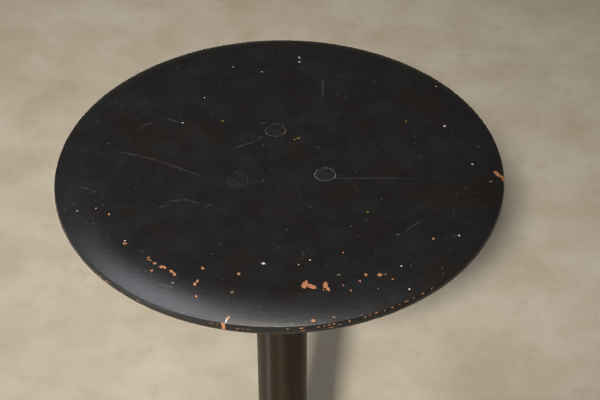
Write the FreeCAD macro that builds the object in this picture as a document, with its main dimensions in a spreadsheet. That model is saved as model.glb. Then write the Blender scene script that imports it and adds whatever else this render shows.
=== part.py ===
import FreeCAD
import Part
import Sketcher
import math
import os

# A machinist's stool: a turned wooden seat on a cast flange, a screwed steel spindle that
# turns up and down in a hexagonal nut, a steel tube column and a cast iron four-leg base.
# Millimetres, +Z up, origin on the floor under the column.

DIMENSIONS = [
    # seat board
    ("seat_top", 565, "height of the seat above the floor in the photographed position"),
    ("seat_radius", 175, "outer radius of the seat"),
    ("seat_thick", 18, "thickness of the board"),
    ("edge_rise", 8, "height of the upright edge below the turned shoulder"),
    ("shoulder_run", 30, "how far the turned shoulder reaches in from the edge"),
    ("under_round", 4, "rounding of the lower edge"),
    # coach bolts
    ("bolt_circle", 39, "radius of the circle that the three bolts stand on"),
    ("bolt_count", 3, "number of coach bolts"),
    ("bolt_turn", -25, "angle of the first bolt from +X, degrees"),
    ("head_radius", 8.5, "radius of the low domed head"),
    ("head_thick", 3.2, "thickness of the head"),
    ("head_dome", 0.9, "rise of the dome"),
    ("head_gap", 0.25, "ring gap between head and wood"),
    ("neck_width", 8, "width of the square neck"),
    ("neck_depth", 5, "depth of the square neck"),
    ("shank_radius", 4, "radius of the shank"),
    ("shank_end", 42, "distance from seat top to the end of the shank"),
    ("washer_radius", 8.5, "radius of the washers under the flange"),
    ("washer_thick", 1.6, "thickness of those washers"),
    ("nut_flats", 13, "width across the flats of the coach bolt nuts"),
    ("nut_thick", 6.5, "thickness of those nuts"),
    # cast seat flange
    ("flange_radius", 57, "radius of the flange"),
    ("flange_rim", 6, "thickness of the flange at its rim"),
    ("flange_root", 12, "thickness of the flange at the hub"),
    ("boss_radius", 11, "radius of the spot-faced bolt bosses"),
    ("boss_drop", 13, "distance from the flange's top face to the boss face"),
    ("hub_length", 44, "height of the hub from its lower face to the seat"),
    ("hub_radius", 21, "radius of the hub at its lower face"),
    ("hub_flare", 32, "radius where the hub's flare meets the flange"),
    ("flare_hollow", 22, "radius of the hollow flare between hub and flange"),
    ("rib_thick", 7, "thickness of the three ribs"),
    ("rib_reach", 51, "how far a rib reaches from the axis"),
    ("rib_hollow", 70, "radius of a rib's hollow edge"),
    ("rib_start", 5, "height of the ribs' lower ends above the hub's lower face"),
    ("cast_edge", 1.5, "bevel on the turned edges of the flange"),
    ("pin_radius", 3, "radius of the cross pin"),
    ("pin_length", 46, "length of the cross pin"),
    ("pin_rise", 13, "height of the cross pin above the hub's lower face"),
    ("pin_bevel", 0.6, "bevel at the pin's ends"),
    # spindle
    ("spindle_radius", 14, "outside radius of the screw"),
    ("stub_radius", 10, "radius of the upper stub in the hub"),
    ("stub_short", 3, "gap between the upper stub's end and the seat"),
    ("screw_length", 206, "length of the screw"),
    ("tail_radius", 8, "radius of the turned-down tail"),
    ("tail_length", 45, "length of the tail"),
    ("screw_bevel", 2, "bevel at the screw's lower end"),
    ("turned_bevel", 1, "small bevel at the ends of turned pieces"),
    # pieces on the spindle's tail
    ("stop_radius", 16.8, "radius of the stop washer"),
    ("stop_thick", 4, "thickness of the stop washer"),
    ("bush_radius", 17.85, "radius of the steady bush"),
    ("bush_length", 20, "length of the steady bush"),
    ("bush_play", 0.25, "end play at each face of the bush"),
    ("bush_fit", 0.08, "running gap between the bush and the tail"),
    ("bush_land", 8, "length of the bush's upper and lower bearing lands"),
    ("bush_relief", 1.2, "depth of the relief between those lands"),
    ("tail_washer_radius", 13, "radius of the tail washer"),
    ("tail_washer_thick", 2.5, "thickness of the tail washer"),
    ("castle_flats", 24, "width across the flats of the castle nut"),
    ("castle_height", 13, "height of the castle nut"),
    ("slot_width", 4.4, "width of a slot in the castle nut"),
    ("slot_depth", 5, "depth of a slot in the castle nut"),
    ("split_radius", 1.9, "radius of the split pin"),
    ("split_rise", 6.5, "height of the split pin above the tail's lower end"),
    ("split_length", 28, "length of the split pin's shank"),
    ("eye_reach", 14.9, "distance of the split pin's eye from the axis"),
    ("eye_radius", 2.3, "outer radius of the eye"),
    ("eye_bore", 0.9, "inner radius of the eye"),
    # column
    ("tube_radius", 21.2, "outer radius of the column tube"),
    ("tube_wall", 3.2, "wall of the column tube"),
    ("tube_foot", 40, "height of the tube's lower end"),
    ("tube_head", 437, "height of the tube's upper end"),
    ("hex_flats", 54, "width across the flats of the column nut"),
    ("hex_height", 18, "height of the column nut's head"),
    ("hex_low_bevel", 1.7, "height of the bevel under the hexagon's corners"),
    ("hex_high_bevel", 2.6, "height of the bevel on top of the hexagon's corners"),
    ("sleeve_length", 50, "length of the nut's sleeve in the tube"),
    ("screw_gap", 0.2, "gap between screw and nut"),
    ("buffer_radius", 25, "radius of the leather buffer washer"),
    ("buffer_thick", 3, "thickness of the buffer washer"),
    ("grub_radius", 3, "radius of the grub screws that lock the nut"),
    ("grub_drop", 18, "distance from the tube's upper end to the grub screws"),
    ("grub_start", 0.6, "distance from the bore to the inner end of a grub screw"),
    ("grub_slot", 1.2, "depth of a grub screw's slot"),
    ("buffer_gap", 0.6, "gap between screw and buffer washer"),
    # base casting
    ("leg_count", 4, "number of legs"),
    ("leg_turn", 45, "angle of the first leg from +X, degrees"),
    ("foot_circle", 225, "radius of the circle that the feet stand on"),
    ("foot_boss_radius", 21, "radius of the round boss over each foot"),
    ("foot_boss_top", 36, "height of the boss's top"),
    ("boss_proud", 2, "how far the boss stands above the end of the strap"),
    ("rubber_height", 14, "height of a rubber foot"),
    ("base_hub_bottom", 26, "height of the hub's lower face"),
    ("base_hub_top", 140, "height of the hub's upper face"),
    ("base_hub_root", 40, "radius of the hub at the bottom"),
    ("base_hub_waist", 31, "radius of the hub under its collar"),
    ("collar_radius", 35, "radius of the collar that holds the set screws"),
    ("collar_height", 24, "height of the collar"),
    ("collar_round", 5, "radius of the collar's upper edge and of the hollow under it"),
    ("hub_hollow", 240, "radius of the hub's hollow side"),
    ("hub_bevel", 3, "bevel round the hub's lower edge"),
    ("leg_web", 10, "thickness of a leg's web"),
    ("leg_strap", 9, "thickness of a leg's top strap"),
    ("strap_root", 20, "half width of the strap at the hub"),
    ("strap_tip", 15, "half width of the strap at the foot"),
    ("leg_root_top", 108, "height of the leg's top at its root"),
    ("leg_sag", 400, "radius of the hollow curve along the leg's top"),
    ("leg_arch", 420, "radius of the arch under the leg"),
    ("tube_fit", 0.1, "gap between tube and base hub"),
    ("foot_hole", 14, "depth of the tapped hole for a foot screw"),
    ("cast_bevel", 2, "bevel along the strap of a leg"),
    ("bore_shoulder", 18, "radius of the hole left under the shoulder that the tube stands on"),
    # set screws in the collar
    ("set_radius", 4, "radius of the set screws"),
    ("set_height", 128, "height of the set screws"),
    ("set_boss_radius", 10, "radius of the spot-faced boss round a set screw"),
    ("set_boss_face", 39, "distance of that face from the axis"),
    ("set_head_width", 10, "width of the square head"),
    ("set_neck", 48, "distance of the head's inner face from the axis"),
    ("set_end", 56, "distance of the head's outer face from the axis"),
    ("lock_nut_flats", 13, "width across the flats of the set screws' lock nuts"),
    ("lock_nut_thick", 5, "thickness of the set screws' lock nuts"),
    # feet
    ("rubber_radius", 18, "radius of a rubber foot at the floor"),
    ("rubber_neck", 16, "radius of a rubber foot at the top"),
    ("rubber_web", 6, "rubber left above the screw's recess"),
    ("recess_radius", 8, "radius of that recess"),
    ("foot_screw_radius", 3, "radius of the foot screws"),
    ("foot_washer_thick", 1.2, "thickness of the washers in the feet"),
    ("foot_head_radius", 5.8, "radius of a foot screw's head"),
    ("foot_head_flat", 3.8, "radius of the flat on that head"),
    ("foot_head_height", 3.4, "height of that head"),
    ("foot_head_edge", 0.8, "height of the upright edge of that head"),
    ("foot_screw_reach", 12, "how far a foot screw reaches into the casting"),
]

doc = FreeCAD.newDocument("machinist_stool")
sheet = doc.addObject("Spreadsheet::Sheet", "Dim")
for row, (alias, size, meaning) in enumerate(DIMENSIONS, start=1):
    sheet.set(f"A{row}", str(size))
    sheet.setAlias(f"A{row}", alias)
    sheet.set(f"B{row}", meaning)
doc.recompute()

NODES = []  # every finished sub-part, in the order of assembly
SET_SWING = -45  # the set screws stand between the legs: the first one's angle from the first leg
SET_SPREAD = -90  # angle from the first set screw to the second


def value(formula):
    """The number that a formula of sheet cells gives."""
    return float(sheet.evalExpression(formula))


def bind(sketch, constraint, formula):
    """Adds a constraint to a sketch and binds its size to a formula."""
    index = sketch.addConstraint(constraint)
    sketch.setExpression(f"Constraints[{index}]", formula)


def new_body(label, turn=None):
    """A new body in the list of nodes, turned about Z by a formula in degrees."""
    body = doc.addObject("PartDesign::Body", label)
    body.Label = label
    body.AllowCompound = True
    if turn:
        body.setExpression("Placement.Rotation.Angle", turn)
    NODES.append(body)
    return body


def origin_feature(body, role):
    """One of the body's own planes or axes."""
    return [f for f in body.Origin.OriginFeatures if f.Role == role][0]


def new_sketch(body, plane="XZ_Plane", lift="0", swing=0):
    """A sketch on one of the body's own planes, swung about Z and lifted along its normal."""
    sketch = body.newObject("Sketcher::SketchObject", body.Label + "_sketch")
    sketch.AttachmentSupport = [(origin_feature(body, plane), "")]
    sketch.MapMode = "FlatFace"
    turned = FreeCAD.Rotation(FreeCAD.Vector(0, 1, 0), swing)
    sketch.AttachmentOffset = FreeCAD.Placement(FreeCAD.Vector(), turned)
    sketch.setExpression("AttachmentOffset.Base.x", f"({lift}) * sin({swing} deg)")
    sketch.setExpression("AttachmentOffset.Base.z", f"({lift}) * cos({swing} deg)")
    return sketch


def pin_point(sketch, geometry, point, across, up):
    """Holds a point of the sketch at a place given by two formulas."""
    bind(sketch, Sketcher.Constraint("DistanceX", -1, 1, geometry, point, value(across)), across)
    bind(sketch, Sketcher.Constraint("DistanceY", -1, 1, geometry, point, value(up)), up)


def outline(sketch, corners):
    """A closed outline. A corner is (across, up), or (across, up, radius, side) where an arc of that
    radius runs on to the next corner and bulges to its left (side 1) or right (side -1)."""
    places = [FreeCAD.Vector(value(c[0]), value(c[1]), 0) for c in corners]
    ends = []
    for i, corner in enumerate(corners):
        here, there = places[i], places[(i + 1) % len(corners)]
        if len(corner) == 2:
            index = sketch.addGeometry(Part.LineSegment(here, there))
        else:
            radius, side = value(corner[2]), corner[3]
            chord = there - here
            left = FreeCAD.Vector(-chord.y, chord.x, 0).normalize()
            rise = radius - math.sqrt(radius**2 - (chord.Length / 2) ** 2)
            middle = (here + there) * 0.5 + left * (side * rise)
            index = sketch.addGeometry(Part.Arc(here, middle, there))
            bind(sketch, Sketcher.Constraint("Radius", index, radius), corner[2])
        starts_here = sketch.getPoint(index, 1).distanceToPoint(here) < 1e-6
        ends.append((index, 1, 2) if starts_here else (index, 2, 1))
    for i, (index, first, last) in enumerate(ends):
        following, its_first, _ = ends[(i + 1) % len(ends)]
        sketch.addConstraint(Sketcher.Constraint("Coincident", index, last, following, its_first))
        pin_point(sketch, index, first, corners[i][0], corners[i][1])
    return sketch


def circle(sketch, across, up, radius):
    """A circle at a place and of a radius given by formulas."""
    centre = FreeCAD.Vector(value(across), value(up), 0)
    index = sketch.addGeometry(Part.Circle(centre, FreeCAD.Vector(0, 0, 1), value(radius)))
    bind(sketch, Sketcher.Constraint("Radius", index, value(radius)), radius)
    pin_point(sketch, index, 3, across, up)
    return sketch


def rectangle(sketch, left, low, right, high):
    """A rectangle between four formulas."""
    return outline(sketch, [(left, low), (right, low), (right, high), (left, high)])


def hexagon(sketch, across, up, flats):
    """A regular hexagon about a place, from its width across the flats."""
    corner = f"({flats}) / 2 / cos(30 deg)"
    return outline(
        sketch,
        [
            (f"{across} + {corner} * cos({60 * k} deg)", f"{up} + {corner} * sin({60 * k} deg)")
            for k in range(6)
        ],
    )


def revolve(body, sketch, about=None):
    """A full revolution about the body's Z axis, or about a vertical line a formula away from it."""
    axis = "V_Axis"
    if about:
        line = Part.LineSegment(FreeCAD.Vector(value(about), 0, 0), FreeCAD.Vector(value(about), 1, 0))
        index = sketch.addGeometry(line, True)
        pin_point(sketch, index, 1, about, "0")
        pin_point(sketch, index, 2, about, "1")
        axis = "Axis0"
    feature = body.newObject("PartDesign::Revolution", body.Label + "_turned")
    feature.Profile = sketch
    feature.ReferenceAxis = (sketch, [axis])
    feature.Angle = 360
    doc.recompute()
    return feature


def pad(body, sketch, length, both_ways=False, back=False):
    """Adds material on a sketch, for a length given by a formula."""
    feature = body.newObject("PartDesign::Pad", body.Label + "_pad")
    feature.Profile = sketch
    feature.setExpression("Length", length)
    feature.Midplane = both_ways
    feature.Reversed = back
    doc.recompute()
    return feature


def pocket(body, sketch, length, both_ways=False, back=False):
    """Takes material away on a sketch and makes sure that it did."""
    before = body.Shape.Volume
    feature = body.newObject("PartDesign::Pocket", body.Label + "_pocket")
    feature.Profile = sketch
    feature.setExpression("Length", length)
    feature.Midplane = both_ways
    feature.Reversed = back
    doc.recompute()
    if not body.Shape.Volume < before - 0.01:
        raise RuntimeError(f"{feature.Name} on {body.Label} cuts nothing")
    return feature


def ring_of(body, features, count, spread=360):
    """Repeats features about the body's Z axis, over the whole turn or a part of it."""
    pattern = body.newObject("PartDesign::PolarPattern", body.Label + "_ring")
    pattern.Originals = features
    pattern.Axis = (origin_feature(body, "Z_Axis"), [""])
    pattern.Angle = spread
    pattern.setExpression("Occurrences", count)
    body.Tip = pattern
    doc.recompute()
    return pattern


def dress(body, kind, size, wanted):
    """Rounds (kind Fillet) or bevels (kind Chamfer) those edges of the body that a test picks out."""
    picked = [f"Edge{i}" for i, edge in enumerate(body.Shape.Edges, start=1) if wanted(edge)]
    if not picked:
        raise RuntimeError(f"no edge to dress on {body.Label}")
    before = body.Tip
    feature = body.newObject("PartDesign::" + kind, body.Label + "_edges")
    feature.Base = (before, picked)
    feature.setExpression("Radius" if kind == "Fillet" else "Size", size)
    doc.recompute()
    return feature


def ring_edge(radius, height):
    """A test for a circular edge about the body's axis, of that radius and at that height."""

    def test(edge):
        if not isinstance(edge.Curve, Part.Circle):
            return False
        centre = edge.Curve.Center
        return (
            math.hypot(centre.x, centre.y) < 0.01
            and abs(edge.Curve.Radius - radius) < 0.01
            and abs(centre.z - height) < 0.01
        )

    return test


# Seat board, turned from wood: flat on top, a wide shoulder and a narrow upright edge.
def make_seat_board():
    body = new_body("seat_board", "Dim.bolt_turn")
    bottom, top = "Dim.seat_top - Dim.seat_thick", "Dim.seat_top"
    drop = "(Dim.seat_thick - Dim.edge_rise)"
    shoulder = f"(Dim.shoulder_run ^ 2 + {drop} ^ 2) / (2 * {drop})"
    profile = outline(
        new_sketch(body),
        [
            ("0", bottom),
            ("Dim.seat_radius", bottom),
            ("Dim.seat_radius", f"{bottom} + Dim.edge_rise", shoulder, -1),
            ("Dim.seat_radius - Dim.shoulder_run", top),
            ("0", top),
        ],
    )
    revolve(body, profile)
    dress(body, "Fillet", "Dim.under_round", ring_edge(value("Dim.seat_radius"), value(bottom)))
    recess = circle(
        new_sketch(body, "XY_Plane", lift=top), "Dim.bolt_circle", "0", "Dim.head_radius + Dim.head_gap"
    )
    cut_recess = pocket(body, recess, "Dim.head_thick")
    ring_of(body, [cut_recess], "Dim.bolt_count")
    half = "Dim.neck_width / 2 + 0.1"
    square = rectangle(
        new_sketch(body, "XY_Plane", lift=top),
        f"Dim.bolt_circle - ({half})",
        f"-({half})",
        f"Dim.bolt_circle + {half}",
        half,
    )
    cut_square = pocket(body, square, "Dim.seat_thick + 1")
    ring_of(body, [cut_square], "Dim.bolt_count")


# Coach bolts: low domed heads let in flush, square necks that bite into the wood.
def make_coach_bolts():
    body = new_body("coach_bolts", "Dim.bolt_turn")
    rim = "Dim.bolt_circle + Dim.head_radius"
    under_head = "Dim.seat_top - Dim.head_thick"
    dome_low = "Dim.seat_top - Dim.head_dome"
    dome = "(Dim.head_radius ^ 2 + Dim.head_dome ^ 2) / (2 * Dim.head_dome)"
    profile = outline(
        new_sketch(body),
        [
            ("Dim.bolt_circle", "Dim.seat_top - Dim.shank_end"),
            ("Dim.bolt_circle + Dim.shank_radius - 1", "Dim.seat_top - Dim.shank_end"),
            ("Dim.bolt_circle + Dim.shank_radius", "Dim.seat_top - Dim.shank_end + 1"),
            ("Dim.bolt_circle + Dim.shank_radius", under_head),
            (rim, under_head),
            (rim, dome_low, dome, -1),
            ("Dim.bolt_circle", "Dim.seat_top"),
        ],
    )
    bolt = revolve(body, profile, about="Dim.bolt_circle")
    half = "Dim.neck_width / 2"
    square = rectangle(
        new_sketch(body, "XY_Plane", lift=under_head),
        f"Dim.bolt_circle - {half}",
        f"-{half}",
        f"Dim.bolt_circle + {half}",
        half,
    )
    neck = pad(body, square, "Dim.neck_depth", back=True)
    ring_of(body, [bolt, neck], "Dim.bolt_count")


# Seat flange, cast iron: a round plate with spot-faced bosses, three ribs and a flared hub.
def make_seat_flange():
    body = new_body("seat_flange", "Dim.bolt_turn")
    top = "Dim.seat_top - Dim.seat_thick"
    low = f"{top} - Dim.hub_length"
    profile = outline(
        new_sketch(body),
        [
            ("Dim.stub_radius", low),
            ("Dim.hub_radius - Dim.cast_edge", low),
            ("Dim.hub_radius", f"{low} + Dim.cast_edge"),
            ("Dim.hub_radius + 1", f"{top} - Dim.flange_root - 9", "Dim.flare_hollow", 1),
            ("Dim.hub_flare", f"{top} - Dim.flange_root + 1"),
            ("Dim.flange_radius - Dim.cast_edge", f"{top} - Dim.flange_rim"),
            ("Dim.flange_radius", f"{top} - Dim.flange_rim + Dim.cast_edge"),
            ("Dim.flange_radius", top),
            ("Dim.stub_radius", top),
        ],
    )
    revolve(body, profile)
    boss_face = f"{top} - Dim.boss_drop"
    boss = pad(
        body,
        circle(new_sketch(body, "XY_Plane", lift=boss_face), "Dim.bolt_circle", "0", "Dim.boss_radius"),
        "Dim.boss_drop - 2",
    )
    ring_of(body, [boss], "Dim.bolt_count")
    rib = pad(
        body,
        outline(
            new_sketch(body),
            [
                ("-(Dim.stub_radius + 4)", f"{low} + Dim.rib_start"),
                ("-(Dim.hub_radius + 1)", f"{low} + Dim.rib_start", "Dim.rib_hollow", -1),
                ("-Dim.rib_reach", f"{top} - Dim.flange_rim"),
                ("-Dim.rib_reach", f"{top} - Dim.flange_rim + 2"),
                ("-(Dim.stub_radius + 4)", f"{top} - Dim.flange_rim + 2"),
            ],
        ),
        "Dim.rib_thick",
        both_ways=True,
    )
    ring_of(body, [rib], "Dim.bolt_count")
    hole = pocket(
        body,
        circle(new_sketch(body, "XY_Plane", lift=top), "Dim.bolt_circle", "0", "Dim.shank_radius + 0.3"),
        "Dim.boss_drop + 1",
    )
    ring_of(body, [hole], "Dim.bolt_count")
    pocket(
        body,
        circle(new_sketch(body), "0", f"{low} + Dim.pin_rise", "Dim.pin_radius"),
        "4 * Dim.hub_radius",
        both_ways=True,
    )


# Washers and nuts on the coach bolts, under the flange.
def make_coach_bolt_fasteners():
    boss_face = "Dim.seat_top - Dim.seat_thick - Dim.boss_drop"
    washers = new_body("coach_bolt_washers", "Dim.bolt_turn")
    disc = new_sketch(washers, "XY_Plane", lift=f"{boss_face} - Dim.washer_thick")
    circle(disc, "Dim.bolt_circle", "0", "Dim.washer_radius")
    circle(disc, "Dim.bolt_circle", "0", "Dim.shank_radius + 0.2")
    ring_of(washers, [pad(washers, disc, "Dim.washer_thick")], "Dim.bolt_count")

    nuts = new_body("coach_bolt_nuts", "Dim.bolt_turn")
    blank = new_sketch(nuts, "XY_Plane", lift=f"{boss_face} - Dim.washer_thick - Dim.nut_thick")
    hexagon(blank, "Dim.bolt_circle", "0", "Dim.nut_flats")
    circle(blank, "Dim.bolt_circle", "0", "Dim.shank_radius")
    ring_of(nuts, [pad(nuts, blank, "Dim.nut_thick")], "Dim.bolt_count")


# Spindle: a shouldered stub for the hub, the screw itself and a turned-down tail.
def make_spindle():
    body = new_body("spindle", "Dim.bolt_turn")
    hub_low = "Dim.seat_top - Dim.seat_thick - Dim.hub_length"
    screw_low = f"{hub_low} - Dim.screw_length"
    tail_low = f"{screw_low} - Dim.tail_length"
    stub_high = "Dim.seat_top - Dim.seat_thick - Dim.stub_short"
    profile = outline(
        new_sketch(body),
        [
            ("0", tail_low),
            ("Dim.tail_radius - Dim.turned_bevel", tail_low),
            ("Dim.tail_radius", f"{tail_low} + Dim.turned_bevel"),
            ("Dim.tail_radius", screw_low),
            ("Dim.spindle_radius - Dim.screw_bevel", screw_low),
            ("Dim.spindle_radius", f"{screw_low} + Dim.screw_bevel"),
            ("Dim.spindle_radius", f"{hub_low} - Dim.turned_bevel"),
            ("Dim.spindle_radius - Dim.turned_bevel", hub_low),
            ("Dim.stub_radius", hub_low),
            ("Dim.stub_radius", f"{stub_high} - Dim.turned_bevel"),
            ("Dim.stub_radius - Dim.turned_bevel", stub_high),
            ("0", stub_high),
        ],
    )
    revolve(body, profile)
    pocket(
        body,
        circle(new_sketch(body), "0", f"{hub_low} + Dim.pin_rise", "Dim.pin_radius"),
        "4 * Dim.stub_radius",
        both_ways=True,
    )
    pocket(
        body,
        circle(new_sketch(body), "0", f"{tail_low} + Dim.split_rise", "Dim.split_radius + 0.1"),
        "4 * Dim.tail_radius",
        both_ways=True,
    )


# Cross pin through hub and stub, with both ends bevelled.
def make_cross_pin():
    body = new_body("hub_cross_pin", "Dim.bolt_turn")
    height = "Dim.seat_top - Dim.seat_thick - Dim.hub_length + Dim.pin_rise"
    round_pin = circle(new_sketch(body), "0", height, "Dim.pin_radius")
    pad(body, round_pin, "Dim.pin_length", both_ways=True)
    dress(body, "Chamfer", "Dim.pin_bevel", lambda edge: isinstance(edge.Curve, Part.Circle))


def washer(label, bore, radius, low, thick, turn=None):
    """A flat ring about Z from three formulas and the height of its lower face."""
    body = new_body(label, turn)
    ring = new_sketch(body, "XY_Plane", lift=low)
    circle(ring, "0", "0", radius)
    circle(ring, "0", "0", bore)
    pad(body, ring, thick)
    return body


# Stop washer, steady bush, tail washer and castle nut, in order down the spindle's tail.
def make_tail_pieces():
    screw_low = "Dim.seat_top - Dim.seat_thick - Dim.hub_length - Dim.screw_length"
    stop_low = f"{screw_low} - Dim.stop_thick"
    bush_high = f"{stop_low} - Dim.bush_play"
    bush_low = f"{bush_high} - Dim.bush_length"
    washer_low = f"{bush_low} - Dim.bush_play - Dim.tail_washer_thick"
    washer("stop_washer", "Dim.tail_radius", "Dim.stop_radius", stop_low, "Dim.stop_thick")

    bush = new_body("steady_bush")
    bore = "Dim.tail_radius + Dim.bush_fit"
    profile = outline(
        new_sketch(bush),
        [
            (bore, bush_low),
            ("Dim.bush_radius - Dim.turned_bevel", bush_low),
            ("Dim.bush_radius", f"{bush_low} + Dim.turned_bevel"),
            ("Dim.bush_radius", f"{bush_low} + Dim.bush_land"),
            ("Dim.bush_radius - Dim.bush_relief", f"{bush_low} + Dim.bush_land + 1"),
            ("Dim.bush_radius - Dim.bush_relief", f"{bush_high} - Dim.bush_land - 1"),
            ("Dim.bush_radius", f"{bush_high} - Dim.bush_land"),
            ("Dim.bush_radius", f"{bush_high} - Dim.turned_bevel"),
            ("Dim.bush_radius - Dim.turned_bevel", bush_high),
            (bore, bush_high),
        ],
    )
    revolve(bush, profile)

    washer("tail_washer", "Dim.tail_radius", "Dim.tail_washer_radius", washer_low, "Dim.tail_washer_thick")

    castle = new_body("castle_nut", "Dim.bolt_turn")
    low = f"{washer_low} - Dim.castle_height"
    blank = new_sketch(castle, "XY_Plane", lift=low)
    hexagon(blank, "0", "0", "Dim.castle_flats")
    circle(blank, "0", "0", "Dim.tail_radius")
    pad(castle, blank, "Dim.castle_height")
    slot = rectangle(
        new_sketch(castle, "XZ_Plane"),
        "-Dim.slot_width / 2",
        f"{low} - 1",
        "Dim.slot_width / 2",
        f"{low} + Dim.slot_depth",
    )
    cut = pocket(castle, slot, "2 * Dim.castle_flats", both_ways=True)
    ring_of(castle, [cut], "3")


# Split pin: a straight shank through tail and castle nut with a ring-shaped head.
def make_split_pin():
    body = new_body("split_pin", "Dim.bolt_turn")
    height = (
        "Dim.seat_top - Dim.seat_thick - Dim.hub_length - Dim.screw_length"
        " - Dim.tail_length + Dim.split_rise"
    )
    pad(body, circle(new_sketch(body), "0", height, "Dim.split_radius"), "Dim.split_length", both_ways=True)
    eye = new_sketch(body, "YZ_Plane")
    circle(eye, "-Dim.eye_reach", height, "Dim.eye_radius")
    circle(eye, "-Dim.eye_reach", height, "Dim.eye_bore")
    pad(body, eye, "Dim.split_radius", both_ways=True)


# Column: a plain drawn steel tube with two holes for the grub screws.
def make_column_tube():
    body = new_body("column_tube")
    profile = rectangle(
        new_sketch(body),
        "Dim.tube_radius - Dim.tube_wall",
        "Dim.tube_foot",
        "Dim.tube_radius",
        "Dim.tube_head",
    )
    revolve(body, profile)
    hole = circle(new_sketch(body, "YZ_Plane"), "0", "Dim.tube_head - Dim.grub_drop", "Dim.grub_radius")
    pocket(body, hole, "3 * Dim.tube_radius", both_ways=True)


# Column nut: a hexagonal head on a long sleeve that is screwed into the tube.
def make_column_nut():
    body = new_body("column_nut")
    bore = "Dim.spindle_radius + Dim.screw_gap"
    sleeve = "Dim.tube_radius - Dim.tube_wall"
    corner = "Dim.hex_flats / 2 / cos(30 deg)"
    foot = "Dim.tube_head - Dim.sleeve_length"
    head = "Dim.tube_head + Dim.hex_height"
    profile = outline(
        new_sketch(body),
        [
            (bore, foot),
            (f"{sleeve} - Dim.turned_bevel", foot),
            (sleeve, f"{foot} + Dim.turned_bevel"),
            (sleeve, "Dim.tube_head"),
            (f"{corner} - 1.73 * Dim.hex_low_bevel", "Dim.tube_head"),
            (corner, "Dim.tube_head + Dim.hex_low_bevel"),
            (corner, f"{head} - Dim.hex_high_bevel"),
            (f"{corner} - 1.73 * Dim.hex_high_bevel", head),
            (f"{bore} + Dim.turned_bevel", head),
            (bore, f"{head} - Dim.turned_bevel"),
        ],
    )
    revolve(body, profile)
    waste = new_sketch(body, "XY_Plane", lift="Dim.tube_head")
    circle(waste, "0", "0", "Dim.hex_flats + 2")
    hexagon(waste, "0", "0", "Dim.hex_flats")
    pocket(body, waste, "Dim.hex_height", back=True)
    seat = circle(new_sketch(body, "YZ_Plane"), "0", "Dim.tube_head - Dim.grub_drop", "Dim.grub_radius")
    pocket(body, seat, "3 * Dim.tube_radius", both_ways=True)


# Grub screws that lock the nut in the tube, flush with the tube and slotted.
def make_grub_screws():
    body = new_body("nut_grub_screws")
    height = "Dim.tube_head - Dim.grub_drop"
    start, face = "Dim.spindle_radius + Dim.screw_gap + Dim.grub_start", "Dim.tube_radius"
    plug = new_sketch(body, "YZ_Plane", lift=start)
    screw = pad(body, circle(plug, "0", height, "Dim.grub_radius"), f"{face} - ({start})")
    slot = new_sketch(body, "YZ_Plane", lift=f"{face} - Dim.grub_slot")
    rectangle(slot, "-Dim.grub_radius - 1", f"{height} - 0.5", "Dim.grub_radius + 1", f"{height} + 0.5")
    cut = pocket(body, slot, "3", back=True)
    ring_of(body, [screw, cut], "2")


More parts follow.
